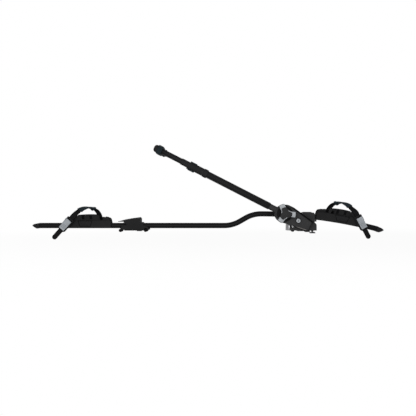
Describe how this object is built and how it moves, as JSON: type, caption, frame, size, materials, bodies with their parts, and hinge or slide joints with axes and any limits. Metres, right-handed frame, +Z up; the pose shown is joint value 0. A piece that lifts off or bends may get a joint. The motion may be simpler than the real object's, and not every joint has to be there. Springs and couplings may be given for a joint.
{
  "type": "roof mounted bike carrier",
  "caption": "Upright roof bike carrier: bent black rail, wheel trays with straps and grey buckles, cam foot and a folding telescopic frame arm with knob, lock and padded jaws.",
  "frame": {"origin": "on the top plane of the front load bar, under the middle of the rail and on the line of the front T bolts", "axes": "+X along the rail towards the front wheel tray, +Y across towards the side without the arm, +Z up"},
  "size_m": [1.4502, 0.2548, 0.3745],
  "materials": {
    "rail_coat": "satin black powder coat",
    "black_plastic": "fine grained",
    "soft_black": "smooth moulded",
    "strap_plastic": "ribbed strap",
    "pad_rubber": "blue grey rubber",
    "foot_rubber": "black rubber",
    "grey_plastic": "grey moulded",
    "arm_coat": "dark anodised",
    "zinc_steel": "zinc plated",
    "bright_steel": "turned",
    "black_steel": "black zinc plated",
    "jaw_coat": "rubber coated",
    "bronze": "sintered bronze"
  },
  "bodies": {
    "rail_frame": {"rail_tube": "rail_coat", "rear_end_cap": "soft_black", "front_end_cap": "soft_black", "front_foot_body": "black_plastic", "foot_chassis": "zinc_steel", "foot_cover_near": "black_plastic", "foot_cover_far": "black_plastic", "rail_clamp_cap": "black_plastic", "rail_clamp_screws": "bright_steel", "front_bar_pad": "foot_rubber", "hinge_pin": "bright_steel", "front_tray": "black_plastic", "front_strap": "strap_plastic", "front_strap_pad": "pad_rubber", "front_strap_anchor": "soft_black", "front_buckle_frame": "soft_black"},
    "release_button": {"release_button": "grey_plastic"},
    "t_bolt_near": {"t_bolt_near": "black_steel"},
    "t_bolt_far": {"t_bolt_far": "black_steel"},
    "hand_nut_near": {"hand_nut_near": "black_plastic"},
    "hand_nut_far": {"hand_nut_far": "black_plastic"},
    "front_buckle_lever": {"front_buckle_lever": "grey_plastic"},
    "front_tray_latch": {"front_tray_latch": "soft_black"},
    "rear_tray": {"rear_tray": "black_plastic", "rear_strap": "strap_plastic", "rear_strap_pad": "pad_rubber", "rear_strap_anchor": "soft_black", "rear_buckle_frame": "soft_black"},
    "rear_buckle_lever": {"rear_buckle_lever": "grey_plastic"},
    "rear_tray_latch": {"rear_tray_latch": "soft_black"},
    "rear_foot": {"rear_foot_saddle": "black_plastic", "rear_bar_pad": "foot_rubber"},
    "draw_yoke": {"draw_yoke": "zinc_steel", "lever_pin": "bright_steel"},
    "quick_release_lever": {"quick_release_lever": "black_plastic"},
    "arm": {"arm_profile": "arm_coat", "housing_outer": "black_plastic", "housing_inner": "black_plastic", "housing_screws": "bright_steel", "hinge_bush": "bronze", "screw_bearing": "bronze", "jaw_sleeve": "soft_black", "lower_jaw": "jaw_coat", "lower_jaw_pad": "pad_rubber"},
    "knob": {"clamp_knob": "black_plastic", "knob_grips": "grey_plastic", "knob_cap": "soft_black", "drive_shaft": "bright_steel", "clutch_disc": "bronze", "clutch_spring": "bright_steel"},
    "lead_screw": {"lead_screw": "bright_steel"},
    "upper_jaw": {"inner_tube": "arm_coat", "drive_nut": "bronze", "upper_jaw": "jaw_coat", "upper_jaw_pad": "pad_rubber", "tip_cap": "soft_black"},
    "lock": {"lock_core": "grey_plastic"}
  },
  "joints": [
    {"name": "arm_fold", "type": "hinge", "parent": "rail_frame", "child": "arm", "pos_m": [-0.043, -0.11, 0.03], "axis": [0, 1, 0], "range_deg": [-20, 45]},
    {"name": "knob_turn", "type": "hinge", "parent": "arm", "child": "knob", "pos_m": [-0.12312, -0.11, 0.071], "axis": [0, 1, 0], "range_deg": [0, 2809]},
    {"name": "screw_turn", "type": "hinge", "parent": "arm", "child": "lead_screw", "pos_m": [-0.12312, -0.11, 0.071], "axis": [-0.8902, 0, 0.4555], "range_deg": [0, 2809]},
    {"name": "jaw_close", "type": "slide", "parent": "arm", "child": "upper_jaw", "axis": [0.8902, 0, -0.4555], "range_m": [0, 0.078]},
    {"name": "lock_turn", "type": "hinge", "parent": "arm", "child": "lock", "pos_m": [-0.06899, -0.135, 0.0433], "axis": [0, 1, 0], "range_deg": [0, 90]},
    {"name": "release_press", "type": "slide", "parent": "rail_frame", "child": "release_button", "axis": [0, 1, 0], "range_m": [0, 0.003], "stiffness_N_per_m": 300, "springref_m": -0.001},
    {"name": "near_nut_turn", "type": "hinge", "parent": "rail_frame", "child": "hand_nut_near", "pos_m": [0, -0.057, 0.04], "axis": [0, 0, 1], "range_deg": [0, 1081]},
    {"name": "far_nut_turn", "type": "hinge", "parent": "rail_frame", "child": "hand_nut_far", "pos_m": [0, 0.057, 0.04], "axis": [0, 0, 1], "range_deg": [0, 1081]},
    {"name": "near_bolt_drop", "type": "slide", "parent": "rail_frame", "child": "t_bolt_near", "axis": [0, 0, 1], "range_m": [-0.00375, 0]},
    {"name": "far_bolt_drop", "type": "slide", "parent": "rail_frame", "child": "t_bolt_far", "axis": [0, 0, 1], "range_m": [-0.00375, 0]},
    {"name": "front_latch_open", "type": "hinge", "parent": "rail_frame", "child": "front_tray_latch", "pos_m": [0.13139, -0.0216, 0.05747], "axis": [-0.9854, 0, 0.1703], "range_deg": [0, 55]},
    {"name": "front_buckle_open", "type": "hinge", "parent": "rail_frame", "child": "front_buckle_lever", "pos_m": [0.19397, -0.0509, 0.04806], "axis": [-0.8894, 0, -0.4571], "range_deg": [0, 35]},
    {"name": "rear_tray_slide", "type": "slide", "parent": "rail_frame", "child": "rear_tray", "axis": [1, 0, 0], "range_m": [-0.07, 0.01]},
    {"name": "rear_latch_open", "type": "hinge", "parent": "rear_tray", "child": "rear_tray_latch", "pos_m": [-0.9275, -0.0216, 0.0382], "axis": [-1, 0, 0], "range_deg": [0, 55]},
    {"name": "rear_buckle_open", "type": "hinge", "parent": "rear_tray", "child": "rear_buckle_lever", "pos_m": [-0.98974, -0.0509, 0.03873], "axis": [-0.749, 0, 0.6626], "range_deg": [0, 35]},
    {"name": "rear_foot_slide", "type": "slide", "parent": "rail_frame", "child": "rear_foot", "axis": [1, 0, 0], "range_m": [-0.012, 0.25]},
    {"name": "yoke_drop", "type": "slide", "parent": "rear_foot", "child": "draw_yoke", "axis": [0, 0, 1], "range_m": [-0.005, 0]},
    {"name": "lever_open", "type": "hinge", "parent": "draw_yoke", "child": "quick_release_lever", "pos_m": [-0.7065, 0, 0.046], "axis": [0, 1, 0], "range_deg": [0, 95.2]}
  ],
  "couplings": [
    {"joint": "knob_turn", "follows": "jaw_close", "rad_per_m": 628.32},
    {"joint": "screw_turn", "follows": "jaw_close", "rad_per_m": 628.32},
    {"joint": "near_nut_turn", "follows": "near_bolt_drop", "rad_per_m": -5026.5},
    {"joint": "far_nut_turn", "follows": "far_bolt_drop", "rad_per_m": -5026.5},
    {"joint": "lever_open", "follows": "yoke_drop", "rad_per_m": -331.61}
  ]
}
